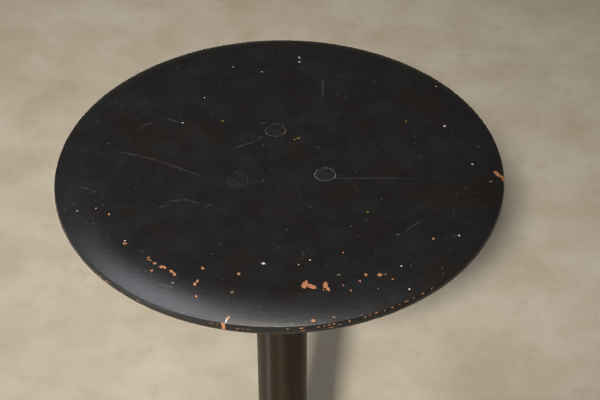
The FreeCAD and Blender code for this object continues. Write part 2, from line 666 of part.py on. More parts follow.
# Base: one iron casting with four legs, a boss over each foot, and a hub with a collar.
def make_base_casting():
    body = new_body("base_casting", "Dim.leg_turn")
    root, tip = "(Dim.tube_radius + 1)", "(Dim.foot_circle - 12)"
    strap_end = "Dim.foot_boss_top - Dim.boss_proud"
    web = pad(
        body,
        outline(
            new_sketch(body),
            [
                (root, "Dim.base_hub_bottom + 6", "Dim.leg_arch", 1),
                (tip, "Dim.rubber_height + 3"),
                (tip, f"{strap_end} - 4", "Dim.leg_sag + 4", 1),
                (root, "Dim.leg_root_top - 5"),
            ],
        ),
        "Dim.leg_web",
        both_ways=True,
    )
    strap = pad(
        body,
        outline(
            new_sketch(body),
            [
                (root, "Dim.leg_root_top - 1.25 * Dim.leg_strap", "Dim.leg_sag + Dim.leg_strap", -1),
                (tip, f"{strap_end} - Dim.leg_strap"),
                (tip, strap_end, "Dim.leg_sag", 1),
                (root, "Dim.leg_root_top"),
            ],
        ),
        "2 * Dim.strap_root",
        both_ways=True,
    )
    waste = new_sketch(body, "XY_Plane", lift="Dim.base_hub_top")
    for side in ("", "-"):
        corners = [
            (root, f"{side}Dim.strap_root"),
            (tip, f"{side}Dim.strap_tip"),
            (tip, f"{side}(Dim.strap_root + 2)"),
            (root, f"{side}(Dim.strap_root + 2)"),
        ]
        outline(waste, corners)
    taper = pocket(body, waste, "Dim.base_hub_top")
    ring_of(body, [web, strap, taper], "Dim.leg_count")

    boss = new_sketch(body, "XY_Plane", lift="Dim.rubber_height")
    circle(boss, "Dim.foot_circle", "0", "Dim.foot_boss_radius")
    ring_of(body, [pad(body, boss, "Dim.foot_boss_top - Dim.rubber_height")], "Dim.leg_count")
    tapped = new_sketch(body, "XY_Plane", lift="Dim.rubber_height")
    circle(tapped, "Dim.foot_circle", "0", "Dim.foot_screw_radius")
    ring_of(body, [pocket(body, tapped, "Dim.foot_hole", back=True)], "Dim.leg_count")

    bore = "Dim.tube_radius + Dim.tube_fit"
    collar_low = "Dim.base_hub_top - Dim.collar_height"
    hub = outline(
        new_sketch(body),
        [
            ("Dim.bore_shoulder", "Dim.base_hub_bottom"),
            ("Dim.base_hub_root - Dim.hub_bevel", "Dim.base_hub_bottom"),
            ("Dim.base_hub_root", "Dim.base_hub_bottom + Dim.hub_bevel"),
            ("Dim.base_hub_root", "Dim.base_hub_bottom + 16", "Dim.hub_hollow", 1),
            ("Dim.base_hub_waist", f"{collar_low} - 4", "Dim.collar_round", 1),
            ("Dim.collar_radius", collar_low),
            ("Dim.collar_radius", "Dim.base_hub_top - Dim.collar_round", "Dim.collar_round", -1),
            ("Dim.collar_radius - Dim.collar_round", "Dim.base_hub_top"),
            (bore, "Dim.base_hub_top"),
            (bore, "Dim.tube_foot"),
            ("Dim.bore_shoulder", "Dim.tube_foot"),
        ],
    )
    revolve(body, hub)

    wall = "(Dim.tube_radius + 4)"
    spot = new_sketch(body, "YZ_Plane", lift=wall, swing=SET_SWING)
    circle(spot, "0", "Dim.set_height", "Dim.set_boss_radius")
    ring_of(body, [pad(body, spot, f"Dim.set_boss_face - {wall}")], "2", SET_SPREAD)
    thread = new_sketch(body, "YZ_Plane", lift="Dim.set_boss_face", swing=SET_SWING)
    circle(thread, "0", "Dim.set_height", "Dim.set_radius")
    ring_of(body, [pocket(body, thread, "Dim.set_boss_face - Dim.tube_radius + 1")], "2", SET_SPREAD)

    leg_length = value("Dim.foot_circle - Dim.base_hub_root")
    dress(
        body,
        "Chamfer",
        "Dim.cast_bevel",
        lambda edge: isinstance(edge.Curve, Part.Ellipse) and edge.Length > 0.9 * leg_length,
    )


# Square-headed set screws that grip the column, and the nuts that lock them.
def make_set_screws():
    screws = new_body("column_set_screws", "Dim.leg_turn")
    shank = new_sketch(screws, "YZ_Plane", lift="Dim.tube_radius", swing=SET_SWING)
    circle(shank, "0", "Dim.set_height", "Dim.set_radius")
    rod = pad(screws, shank, "Dim.set_neck - Dim.tube_radius")
    square = new_sketch(screws, "YZ_Plane", lift="Dim.set_neck", swing=SET_SWING)
    half = "Dim.set_head_width / 2"
    rectangle(square, f"-{half}", f"Dim.set_height - {half}", half, f"Dim.set_height + {half}")
    head = pad(screws, square, "Dim.set_end - Dim.set_neck")
    ring_of(screws, [rod, head], "2", SET_SPREAD)

    nuts = new_body("set_screw_lock_nuts", "Dim.leg_turn")
    face = new_sketch(nuts, "YZ_Plane", lift="Dim.set_boss_face", swing=SET_SWING)
    hexagon(face, "0", "Dim.set_height", "Dim.lock_nut_flats")
    circle(face, "0", "Dim.set_height", "Dim.set_radius")
    ring_of(nuts, [pad(nuts, face, "Dim.lock_nut_thick")], "2", SET_SPREAD)


# Rubber feet, recessed from below for the washers and pan-head screws that hold them.
def make_feet():
    centre, top = "Dim.foot_circle", "Dim.rubber_height"
    seat = "(Dim.rubber_height - Dim.rubber_web)"
    feet = new_body("rubber_feet", "Dim.leg_turn")
    profile = outline(
        new_sketch(feet),
        [
            (f"{centre} + Dim.recess_radius", "0"),
            (f"{centre} + Dim.rubber_radius - 1", "0"),
            (f"{centre} + Dim.rubber_radius", "1"),
            (f"{centre} + Dim.rubber_neck + 0.3", f"{top} - 1"),
            (f"{centre} + Dim.rubber_neck - 0.7", top),
            (f"{centre} + Dim.foot_screw_radius + 0.3", top),
            (f"{centre} + Dim.foot_screw_radius + 0.3", seat),
            (f"{centre} + Dim.recess_radius", seat),
        ],
    )
    ring_of(feet, [revolve(feet, profile, about=centre)], "Dim.leg_count")

    washers = new_body("foot_washers", "Dim.leg_turn")
    disc = new_sketch(washers, "XY_Plane", lift=f"{seat} - Dim.foot_washer_thick")
    circle(disc, centre, "0", "Dim.recess_radius - 0.5")
    circle(disc, centre, "0", "Dim.foot_screw_radius + 0.2")
    ring_of(washers, [pad(washers, disc, "Dim.foot_washer_thick")], "Dim.leg_count")

    screws = new_body("foot_screws", "Dim.leg_turn")
    head = f"{seat} - Dim.foot_washer_thick"
    profile = outline(
        new_sketch(screws),
        [
            (centre, f"{head} - Dim.foot_head_height"),
            (f"{centre} + Dim.foot_head_flat", f"{head} - Dim.foot_head_height"),
            (f"{centre} + Dim.foot_head_radius", f"{head} - Dim.foot_head_edge"),
            (f"{centre} + Dim.foot_head_radius", head),
            (f"{centre} + Dim.foot_screw_radius", head),
            (f"{centre} + Dim.foot_screw_radius", f"{top} + Dim.foot_screw_reach - 1"),
            (f"{centre} + Dim.foot_screw_radius - 1", f"{top} + Dim.foot_screw_reach"),
            (centre, f"{top} + Dim.foot_screw_reach"),
        ],
    )
    ring_of(screws, [revolve(screws, profile, about=centre)], "Dim.leg_count")


make_seat_board()
make_coach_bolts()
make_coach_bolt_fasteners()
make_seat_flange()
make_cross_pin()
make_spindle()
make_tail_pieces()
make_split_pin()
washer(
    "buffer_washer",
    "Dim.spindle_radius + Dim.buffer_gap",
    "Dim.buffer_radius",
    "Dim.tube_head + Dim.hex_height",
    "Dim.buffer_thick",
)
make_column_nut()
make_grub_screws()
make_column_tube()
make_base_casting()
make_set_screws()
make_feet()
doc.recompute()

for thing in doc.Objects:
    if "Invalid" in thing.State or "Error" in thing.State:
        raise RuntimeError(f"{thing.Label} did not compute")
for node in NODES:
    if node.Shape.isNull() or not node.Shape.isValid():
        raise RuntimeError(f"{node.Label} is not a valid shape")
    if node.Shape.ShapeType == "Compound" and not node.Shape.Solids:
        raise RuntimeError(f"{node.Label} holds no solid")

os.makedirs("parts", exist_ok=True)
for node in NODES:
    node.Shape.exportStep(f"parts/{node.Label}.step")
    print(f"{node.Label}: {len(node.Shape.Solids)} solids, {node.Shape.Volume / 1000:.2f} cm3")
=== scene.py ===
import math

import bmesh
import bpy
from mathutils import Matrix, Vector


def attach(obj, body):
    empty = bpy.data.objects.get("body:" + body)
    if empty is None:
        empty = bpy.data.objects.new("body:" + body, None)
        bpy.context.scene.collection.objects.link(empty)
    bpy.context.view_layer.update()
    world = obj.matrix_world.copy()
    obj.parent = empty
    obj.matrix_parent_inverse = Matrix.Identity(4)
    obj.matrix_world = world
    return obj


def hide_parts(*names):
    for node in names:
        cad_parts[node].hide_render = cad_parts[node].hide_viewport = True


# A machinist's stool, built up from the floor: a cast iron base on rubber feet, a steel tube column
# with a hexagonal nut, a screw that turns up and down in it, a cast flange and a black wooden seat.
# Sizes below are in millimetres and turned into metres where a mesh is made.

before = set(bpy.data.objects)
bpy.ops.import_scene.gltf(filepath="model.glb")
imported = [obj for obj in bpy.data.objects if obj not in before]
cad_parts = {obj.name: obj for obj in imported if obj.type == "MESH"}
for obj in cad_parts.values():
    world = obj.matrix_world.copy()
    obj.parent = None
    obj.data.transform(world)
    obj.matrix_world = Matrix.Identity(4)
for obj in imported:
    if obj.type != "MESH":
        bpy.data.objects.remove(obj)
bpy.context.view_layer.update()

# Base casting
# One grey-iron sand casting: four T-section legs that sweep down from a central hub to round pads.
# Its corners are full of the soft radii that the mould leaves, and only the bore, the pads for the
# set screws and the undersides of the feet are machined. Finished in stoved black enamel.

MM = 0.001
TUBE_RADIUS = 21.2
TUBE_FOOT = 40  # height of the shoulder that the tube stands on
HUB_TOP = 140
SET_HEIGHT = 128  # height of the set screws
SET_PAD = 39  # distance of their spot-faced pads from the axis
FOOT_REACH = 225  # distance of the feet from the axis
RUBBER_TOP = 14


def linear(code):
    """An sRGB hex colour as a linear RGBA value."""
    levels = [int(code[i : i + 2], 16) / 255 for i in (1, 3, 5)]
    return [c / 12.92 if c <= 0.04045 else ((c + 0.055) / 1.055) ** 2.4 for c in levels] + [1.0]


def add(tree, kind, settings=(), **inputs):
    """Adds a shader node. Inputs are given by name with _ for a space, or as _0, _1 by number, and
    are a number, a hex colour, a socket to link or a node whose first output is linked."""
    node = tree.nodes.new("ShaderNode" + kind)
    for name, setting in dict(settings).items():
        setattr(node, name, setting)
    for key, given in inputs.items():
        if key[1:].isdigit():
            socket = node.inputs[int(key[1:])]
        else:
            socket = next(s for s in node.inputs if s.enabled and s.name == key.replace("_", " "))
        if isinstance(given, bpy.types.Node):
            given = next(s for s in given.outputs if s.enabled)
        if isinstance(given, bpy.types.NodeSocket):
            tree.links.new(given, socket)
        elif isinstance(given, str):
            socket.default_value = linear(given)
        else:
            socket.default_value = given
    return node


def new_finish(name):
    """An empty material, its tree, and the object's own coordinates in millimetres."""
    material = bpy.data.materials.new(name)
    material.use_nodes = True
    tree = material.node_tree
    tree.nodes.clear()
    place = add(tree, "TexCoord").outputs["Object"]
    place = add(tree, "VectorMath", {"operation": "SCALE"}, Vector=place, Scale=1000.0)
    return material, tree, place


def blend(tree, factor, first, second):
    """A colour between two others."""
    return add(tree, "Mix", {"data_type": "RGBA"}, Factor=factor, A=first, B=second)


def times(tree, first, second):
    """The product of two numbers."""
    return add(tree, "Math", {"operation": "MULTIPLY"}, _0=first, _1=second)


def cloudy(tree, place, size, detail, roughness=0.5):
    """Noise whose largest features have that size in mm."""
    return add(tree, "TexNoise", Vector=place, Scale=1 / size, Detail=detail, Roughness=roughness)


def shown(tree, **inputs):
    """Ends a tree with a Principled shader that has these inputs."""
    shader = add(tree, "BsdfPrincipled", **inputs)
    add(tree, "OutputMaterial", Surface=shader)


def as_cast(node, voxel, rounds):
    """A rigid piece as it comes from the sand: the node's solid with its corners filled and rounded
    by relaxing an even skin of that voxel size."""
    thing = bpy.data.objects.new(node + "_as_cast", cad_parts[node].data.copy())
    bpy.context.collection.objects.link(thing)
    weld = thing.modifiers.new("weld", "WELD")
    weld.merge_threshold = 0.01 * MM
    skin = thing.modifiers.new("skin", "REMESH")
    skin.mode = "VOXEL"
    skin.voxel_size = voxel * MM
    relax = thing.modifiers.new("relax", "SMOOTH")
    relax.factor = 0.5
    relax.iterations = rounds
    settle(thing)
    return thing


def settle(thing, crease=30):
    """Applies a piece's modifiers and shades it smooth, with edges sharper than crease degrees kept."""
    seen = thing.evaluated_get(bpy.context.evaluated_depsgraph_get())
    mesh = bpy.data.meshes.new_from_object(seen)
    thing.modifiers.clear()
    thing.data = mesh
    mesh.shade_smooth()
    mesh.set_sharp_from_angle(angle=math.radians(crease))


def made(name, bm, crease=30):
    """Turns a bmesh into a shaded object."""
    bmesh.ops.remove_doubles(bm, verts=bm.verts, dist=0.001 * MM)
    bmesh.ops.recalc_face_normals(bm, faces=bm.faces)
    mesh = bpy.data.meshes.new(name)
    bm.to_mesh(mesh)
    bm.free()
    mesh.shade_smooth()
    mesh.set_sharp_from_angle(angle=math.radians(crease))
    thing = bpy.data.objects.new(name, mesh)
    bpy.context.collection.objects.link(thing)
    return thing


def loft(bm, rings, place=Matrix()):
    """Skins a closed row of rings of points in mm, where a ring of one point is a pole."""
    rows = [[bm.verts.new((place @ Vector(point)) * MM) for point in ring] for ring in rings]
    for row, following in zip(rows, rows[1:] + rows[:1]):
        for i in range(max(len(row), len(following))):
            j = i + 1
            corners = [row[i % len(row)], row[j % len(row)]]
            corners += [following[j % len(following)], following[i % len(following)]]
            corners = list(dict.fromkeys(corners))
            if len(corners) > 2:
                bm.faces.new(corners)


def turned(bm, profile, steps=96, place=Matrix()):
    """Turns a closed profile about Z. A corner is (radius, height) or (radius, height, rounding)."""
    points = []
    for i, corner in enumerate(profile):
        here = Vector(corner[:2])
        if len(corner) == 2:
            points.append(here)
            continue
        back = Vector(profile[i - 1][:2]) - here
        on = Vector(profile[(i + 1) % len(profile)][:2]) - here
        reach = corner[2] / math.tan(back.angle(on) / 2)
        reach = min(reach, 0.49 * back.length, 0.49 * on.length)
        start, end = here + back.normalized() * reach, here + on.normalized() * reach
        for k in range(5):
            t = k / 4
            points.append((1 - t) ** 2 * start + 2 * t * (1 - t) * here + t**2 * end)
    rings = []
    for radius, height in points:
        if radius < 1e-6:
            rings.append([(0, 0, height)])
        else:
            turn = [math.tau * i / steps for i in range(steps)]
            rings.append([(radius * math.cos(a), radius * math.sin(a), height) for a in turn])
    loft(bm, rings, place)


def carve(thing, profile, places, steps=64):
    """Machines a turned pocket into a piece at each place."""
    bm = bmesh.new()
    for place in places:
        turned(bm, profile, steps, place)
    cutter = made("cutter", bm)
    cut = thing.modifiers.new("cut", "BOOLEAN")
    cut.operation = "DIFFERENCE"
    cut.object = cutter
    settle(thing)
    bpy.data.objects.remove(cutter)


def dressed(thing, node, body, material):
    """Gives a piece its finish, lets it ride on a body and stand for a CAD node."""
    thing.name = node + "_piece"
    thing.data.materials.clear()
    thing.data.materials.append(material)
    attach(thing, body)
    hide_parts(node)


def kept(node, material):
    """Gives a CAD node that keeps its own mesh a finish."""
    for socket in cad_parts[node].material_slots:
        socket.material = material


def spun(angle, place):
    """A place that is turned about the stool's axis by an angle in degrees."""
    return Matrix.Rotation(math.radians(angle), 4, "Z") @ Matrix.Translation(place)


base = as_cast("base_casting", 1.6, 6)
bored = TUBE_RADIUS + 0.25
bore = [(0, TUBE_FOOT), (bored, TUBE_FOOT), (bored, HUB_TOP - 1)]
bore += [(TUBE_RADIUS + 2, HUB_TOP + 1), (0, HUB_TOP + 1)]
carve(base, bore, [Matrix()], 96)
spot_face = [(0, SET_PAD - 0.4), (8.6, SET_PAD - 0.4, 0.4), (9, SET_PAD + 3), (0, SET_PAD + 3)]
SIDEWAYS = Matrix.Rotation(math.radians(90), 4, "Y")
SET_SCREWS = [spun(a, (0, 0, SET_HEIGHT)) @ SIDEWAYS for a in (0, -90)]
carve(base, spot_face, SET_SCREWS)

# Stoved enamel over sand-cast iron: a near-black skin with a soft gloss, over the pebbled texture of
# the mould. Dust dulls the faces that look up.
enamel, tree, place = new_finish("stoved_black_enamel_on_cast_iron")
sand = cloudy(tree, place, 1.6, 4.0, 0.6)
swell = cloudy(tree, place, 14, 2.0)
height = add(tree, "Mix", {"data_type": "FLOAT"}, Factor=0.55, A=sand, B=swell)
grain = add(tree, "Bump", Strength=0.6, Distance=0.0006, Height=height)
dust = cloudy(tree, place, 30, 6.0, 0.65)
up = add(tree, "SeparateXYZ", Vector=add(tree, "NewGeometry").outputs["Normal"]).outputs["Z"]
smooth = {"interpolation_type": "SMOOTHSTEP"}
lies = add(tree, "MapRange", smooth, Value=up, From_Min=0.2, From_Max=0.95, To_Max=0.8)
lies = times(tree, lies, dust)
colour = blend(tree, lies, "#1a1918", "#3a3733")
gloss = add(tree, "MapRange", Value=lies, To_Min=0.36, To_Max=0.62)
shown(tree, Base_Color=colour, Roughness=gloss, Normal=grain)
dressed(base, "base_casting", "pedestal", enamel)

# Rubber feet
# Moulded black rubber discs under the leg pads, recessed from below. A washer and a pan-head screw
# in each recess hold the foot to the tapped pad above it.

profile = [(8, 0, 0.6), (18, 0, 1.2), (17.4, 4.6, 0.5), (16.6, 5.2, 0.4), (17.1, 5.8, 0.4)]
profile += [(16.2, 13.4, 0.9), (15.2, RUBBER_TOP), (3.3, RUBBER_TOP), (3.3, 8), (8, 8, 0.6)]
bm = bmesh.new()
for angle in (45, 135, 225, 315):
    turned(bm, profile, 64, spun(angle, (FOOT_REACH, 0, 0)))
feet = made("feet", bm)

# Moulded black rubber: matt, faintly pebbled, greyed by floor dust towards the bottom edge.
rubber, tree, place = new_finish("moulded_black_rubber")
low = add(tree, "SeparateXYZ", Vector=place).outputs["Z"]
soiled = add(tree, "MapRange", Value=low, From_Max=9.0, To_Min=0.7, To_Max=0.1)
patch = cloudy(tree, place, 5, 5.0)
soiled = times(tree, soiled, patch)
colour = blend(tree, soiled, "#1c1c1b", "#5d5850")
pebble = cloudy(tree, place, 0.7, 3.0)
grain = add(tree, "Bump", Strength=0.5, Distance=0.00015, Height=pebble)
shown(tree, Base_Color=colour, Roughness=0.74, Normal=grain)
dressed(feet, "rubber_feet", "pedestal", rubber)

# Dull zinc plate on steel fasteners: grey metal with a cloudy bloom that makes its gloss uneven.
zinc, tree, place = new_finish("dull_zinc_plated_steel")
bloom = cloudy(tree, place, 3, 5.0, 0.7)
colour = blend(tree, bloom, "#8d8e8c", "#5f5c56")
gloss = add(tree, "MapRange", Value=bloom, To_Min=0.3, To_Max=0.58)
fine = cloudy(tree, place, 0.4, 2.0)
grain = add(tree, "Bump", Strength=0.25, Distance=0.0001, Height=fine)
shown(tree, Base_Color=colour, Metallic=1.0, Roughness=gloss, Normal=grain)
for node in ("foot_screws", "foot_washers", "hub_cross_pin"):
    kept(node, zinc)

# Column tube
# A drawn steel tube that stands on a shoulder inside the base's hub and is gripped by two set
# screws. It is browned and oiled, and the two grub screws that lock the nut show near its top.

TUBE_BORE = 18
TUBE_HEAD = 437
GRUB_HEIGHT = TUBE_HEAD - 18
GRUB_HOLE = 3.1  # radius of the holes for the grub screws

bm = bmesh.new()
profile = [(TUBE_BORE, TUBE_FOOT), (TUBE_RADIUS, TUBE_FOOT, 0.6)]
turned(bm, profile + [(TUBE_RADIUS, TUBE_HEAD, 0.5), (TUBE_BORE, TUBE_HEAD)], 160)
tube = made("tube", bm)
GRUBS = [spun(a, (0, 0, GRUB_HEIGHT)) @ SIDEWAYS for a in (0, 180)]
carve(tube, [(0, 10), (GRUB_HOLE, 10), (GRUB_HOLE, 30), (0, 30)], GRUBS, 32)

# Browned steel: the dark brown-grey oxide of a chemical finish, with long faint streaks along the
# draw of the tube, rubbed a little lighter in patches by hands and boots.
browned, tree, place = new_finish("browned_drawn_steel")
along = add(tree, "Mapping", Vector=place, Scale=(1 / 2.2, 1 / 2.2, 1 / 160))
streak = cloudy(tree, along, 1, 4.0, 0.6)
cloud = cloudy(tree, place, 26, 5.0, 0.6)
tone = add(tree, "Mix", {"data_type": "FLOAT"}, Factor=0.45, A=streak, B=cloud)
tone = add(tree, "MapRange", Value=tone, From_Min=0.34, From_Max=0.66)
colour = blend(tree, tone, "#190f07", "#24180c")
gloss = add(tree, "MapRange", Value=tone, To_Min=0.31, To_Max=0.26)
grain = add(tree, "Bump", Strength=0.3, Distance=0.0001, Height=streak)
round_it = add(tree, "Tangent", {"direction_type": "RADIAL", "axis": "Z"})
drawn = {"Anisotropic": 0.9, "Anisotropic_Rotation": 0.25, "Tangent": round_it}
shown(tree, Base_Color=colour, Roughness=gloss, Specular_IOR_Level=0.4, Normal=grain, **drawn)
dressed(tube, "column_tube", "pedestal", browned)
kept("nut_grub_screws", browned)

# Square-headed set screws and the thin nuts that lock them, screwed in from two sides of the hub.


def hexagon_nut(bm, flats, low, high, bore, place=Matrix()):
    """A hexagon nut whose corners are bevelled by a cone, from width across flats, in mm."""
    steps = 72
    turn = [math.tau * i / steps for i in range(steps)]
    half = flats / 2
    corner = [half / math.cos(a % (math.pi / 3) - math.pi / 6) for a in turn]
    ease = half - 0.2
    slope = math.tan(math.radians(30))

    def ring(radii, height):
        return [(r * math.cos(a), r * math.sin(a), h) for r, a, h in zip(radii, turn, height)]

    tops = [high - (c - ease) * slope for c in corner]
    feet = [low + (c - ease) * slope for c in corner]
    rings = [
        ring([bore] * steps, [low + 0.4] * steps),
        ring([bore] * steps, [high - 0.4] * steps),
        ring([bore + 0.4] * steps, [high] * steps),
        ring([ease] * steps, [high] * steps),
        ring(corner, tops),
        ring(corner, feet),
        ring([ease] * steps, [low] * steps),
        ring([bore + 0.4] * steps, [low] * steps),
    ]
    loft(bm, rings, place)


def screw_thread(bm, crest, root, lead, low, high, steps=48, place=Matrix()):
    """A right-hand thread with slanted flanks, cut off square at both ends, in mm."""
    section = [(0.0, root), (0.14, crest), (0.5, crest), (0.64, root)]
    turns = int((high - low) / lead) + 3
    columns = []
    for j in range(steps + 1):
        angle = math.tau * j / steps
        column = []
        for n in range(turns):
            for share, radius in section:
                height = low + (n - 1.5 + share + j / steps) * lead
                if height < low or height > high:
                    radius = root
                height = min(max(height, low), high)
                column.append((radius * math.cos(angle), radius * math.sin(angle), height))
        columns.append([bm.verts.new((place @ Vector(point)) * MM) for point in column])
    for left, right in zip(columns, columns[1:]):
        for k in range(len(left) - 1):
            bm.faces.new((left[k], right[k], right[k + 1], left[k + 1]))
    bmesh.ops.remove_doubles(bm, verts=bm.verts, dist=0.002 * MM)
    bmesh.ops.dissolve_degenerate(bm, edges=bm.edges, dist=0.002 * MM)


M8 = (4, 3.4, 1.25)  # crest radius, root radius and lead of an M8 thread
M8_FLATS = 13
SHANK_END, HEAD_END = 48, 56  # distances from the axis
square = [(-1, -1), (1, -1), (1, 1), (-1, 1)]
steps = [(4.6, SHANK_END), (5, SHANK_END + 0.4), (5, HEAD_END - 1), (4.2, HEAD_END)]
head = [[(0, 0, SHANK_END)]] + [[(x * w, y * w, z) for x, y in square] for w, z in steps]
head += [[(0, 0, HEAD_END)]]
bm = bmesh.new()
for screw in SET_SCREWS:
    screw_thread(bm, *M8, TUBE_RADIUS, SHANK_END, 24, screw)
    loft(bm, head, screw)
set_screws = made("set_screws", bm)
dressed(set_screws, "column_set_screws", "pedestal", zinc)
bm = bmesh.new()
for screw in SET_SCREWS:
    hexagon_nut(bm, M8_FLATS, SET_PAD, SET_PAD + 5, 4, screw)
lock_nuts = made("lock_nuts", bm)
dressed(lock_nuts, "set_screw_lock_nuts", "pedestal", zinc)

# Column nut and buffer
# A hexagonal steel nut on a sleeve inside the tube. The seat's screw runs in it, and a leather
# washer on its head softens the stop at the lowest height.

HEX_FLATS = 54
HEX_TOP = 455
NUT_BORE = 14.2
SLEEVE_LOW = 387
bm = bmesh.new()
hexagon_nut(bm, HEX_FLATS, TUBE_HEAD, HEX_TOP, NUT_BORE)
sleeve = [(NUT_BORE, SLEEVE_LOW), (17, SLEEVE_LOW, 1), (17.99, SLEEVE_LOW + 2)]
turned(bm, sleeve + [(17.99, TUBE_HEAD + 1), (NUT_BORE, TUBE_HEAD + 1)], 96)
column_nut = made("nut", bm)

# Machined mild steel, oiled and darkened: brown-grey metal with fine turning lines across the top.
oiled, tree, place = new_finish("oiled_machined_steel")
axes = add(tree, "SeparateXYZ", Vector=place)
flat = add(tree, "CombineXYZ", X=axes.outputs["X"], Y=axes.outputs["Y"])
around = add(tree, "VectorMath", {"operation": "LENGTH"}, Vector=flat).outputs["Value"]
lines = add(tree, "TexNoise", {"noise_dimensions": "1D"}, W=around, Scale=1 / 0.5, Detail=2.0)
cloud = cloudy(tree, place, 9, 6.0, 0.7)
tone = add(tree, "MapRange", Value=cloud, From_Min=0.35, From_Max=0.7)
colour = blend(tree, tone, "#756d63", "#4a4037")
gloss = add(tree, "MapRange", Value=tone, To_Min=0.26, To_Max=0.46)
grain = add(tree, "Bump", Strength=0.3, Distance=0.0001, Height=lines)
shown(tree, Base_Color=colour, Metallic=1.0, Roughness=gloss, Normal=grain)
dressed(column_nut, "column_nut", "pedestal", oiled)

bm = bmesh.new()
washer = [(14.6, HEX_TOP, 0.5), (25, HEX_TOP, 0.9)]
turned(bm, washer + [(25, HEX_TOP + 3, 0.9), (14.6, HEX_TOP + 3, 0.5)], 96)
buffer = made("buffer", bm)

# Oiled leather: dark brown in uneven stains, with the pebble of the hide.
leather, tree, place = new_finish("oiled_brown_leather")
hide = add(tree, "TexVoronoi", {"feature": "SMOOTH_F1"}, Vector=place, Scale=1 / 0.9)
stain = cloudy(tree, place, 8, 5.0)
colour = blend(tree, stain, "#5a3b24", "#2c1c12")
grain = add(tree, "Bump", {"invert": True}, Strength=0.5, Distance=0.0003, Height=hide.outputs["Distance"])
shown(tree, Base_Color=colour, Roughness=0.52, Normal=grain)
dressed(buffer, "buffer_washer", "pedestal", leather)

# Screw
# The steel screw that carries the seat: a coarse single thread of 8 mm lead, a plain stub that
# enters the flange above, and a plain tail below that holds the stop washer and the steady bush.

SCREW_RADIUS, SCREW_ROOT, LEAD = 14, 10.6, 8
SCREW_LOW, SCREW_HIGH = 297, 503
TAIL_LOW, STUB_HIGH = 252, 544
bm = bmesh.new()
screw_thread(bm, SCREW_RADIUS, SCREW_ROOT, LEAD, SCREW_LOW, SCREW_HIGH, 64)
profile = [(0, TAIL_LOW), (8, TAIL_LOW, 1), (8, SCREW_LOW), (10.7, SCREW_LOW), (10.7, SCREW_HIGH)]
turned(bm, profile + [(10, SCREW_HIGH), (10, STUB_HIGH, 1), (0, STUB_HIGH)], 64)
screw = made("screw", bm)

# Cut and greased steel thread: bright where it runs in the nut, dark with old grease in the root.
greased, tree, place = new_finish("greased_screw_steel")
axes = add(tree, "SeparateXYZ", Vector=place)
flat = add(tree, "CombineXYZ", X=axes.outputs["X"], Y=axes.outputs["Y"])
around = add(tree, "VectorMath", {"operation": "LENGTH"}, Vector=flat).outputs["Value"]
smear = cloudy(tree, place, 6, 6.0, 0.7)
worn = add(tree, "MapRange", smooth, Value=around, From_Min=10.8, From_Max=13.8)
worn = add(tree, "Math", {"operation": "MULTIPLY_ADD", "use_clamp": True}, _0=smear, _1=-0.8, _2=worn)
colour = blend(tree, worn, "#2b2520", "#8f8a82")
gloss = add(tree, "MapRange", Value=worn, To_Min=0.42, To_Max=0.24)
grain = add(tree, "Bump", Strength=0.2, Distance=0.0001, Height=smear)
shown(tree, Base_Color=colour, Metallic=1.0, Roughness=gloss, Normal=grain)
dressed(screw, "spindle", "seat", greased)
kept("stop_washer", greased)

# Steady bush: a bronze sleeve on the tail that slides in the tube without turning.
bm = bmesh.new()
BUSH_LOW, BUSH_HIGH, BUSH_RADIUS = 272.75, 292.75, 17.85
profile = [(8.08, BUSH_LOW, 0.4), (BUSH_RADIUS, BUSH_LOW, 1), (BUSH_RADIUS, 281, 0.3)]
profile += [(16.65, 282, 0.3), (16.65, 283.5, 0.3), (BUSH_RADIUS, 284.5, 0.3)]
turned(bm, profile + [(BUSH_RADIUS, BUSH_HIGH, 1), (8.08, BUSH_HIGH, 0.4)], 96)
bush = made("bush", bm)

# Cast bronze, turned: warm metal with faint turning lines, browned by oil.
bronze, tree, place = new_finish("turned_bronze")
axes = add(tree, "SeparateXYZ", Vector=place)
lines = add(tree, "TexNoise", {"noise_dimensions": "1D"}, W=axes.outputs["Z"], Scale=1 / 0.4, Detail=2.0)
stain = cloudy(tree, place, 6, 5.0)
colour = blend(tree, stain, "#b08a55", "#6d4f2c")
gloss = add(tree, "MapRange", Value=stain, To_Min=0.26, To_Max=0.44)
grain = add(tree, "Bump", Strength=0.25, Distance=0.0001, Height=lines)
shown(tree, Base_Color=colour, Metallic=1.0, Roughness=gloss, Normal=grain)
dressed(bush, "steady_bush", "steady", bronze)
for node in ("tail_washer", "castle_nut", "split_pin"):
    kept(node, zinc)

# Seat flange
# A second iron casting under the seat: a round plate with three bosses and ribs and a flared hub,
# into which the screw's stub is pinned. Black japan, glossier than the base.

flange = as_cast("seat_flange", 0.8, 5)
japan, tree, place = new_finish("black_japan_on_cast_iron")
sand = cloudy(tree, place, 1.4, 4.0, 0.6)
swell = cloudy(tree, place, 10, 2.0)
height = add(tree, "Mix", {"data_type": "FLOAT"}, Factor=0.5, A=sand, B=swell)
grain = add(tree, "Bump", Strength=0.5, Distance=0.0004, Height=height)
colour = blend(tree, swell, "#141211", "#1d1815")
shown(tree, Base_Color=colour, Roughness=0.3, Normal=grain)
dressed(flange, "seat_flange", "seat", japan)

# Seat board
# A disc turned from solid wood: flat on top, falling in a wide shoulder to a sharp rim, with an
# upright edge tucked in below. Brushed with black paint, now rubbed through along the rim and
# knocked off in chips that show the orange-brown wood.

SEAT_TOP, SEAT_BOTTOM = 565, 547
SEAT_RADIUS = 175
ARRIS = 555  # height of the sharp rim
SHOULDER = 30  # width of the turned shoulder
SHOULDER_ROUND = 50  # radius of its curve
RIM_BEVEL = 0.65  # width of the small steep bevel that breaks the rim
UNDER_ROUND = 4
BOLT_CIRCLE = 39
BOLT_ANGLES = (-25, 95, 215)
HEAD_RADIUS, HEAD_GAP, HEAD_THICK = 8.5, 0.25, 3.2

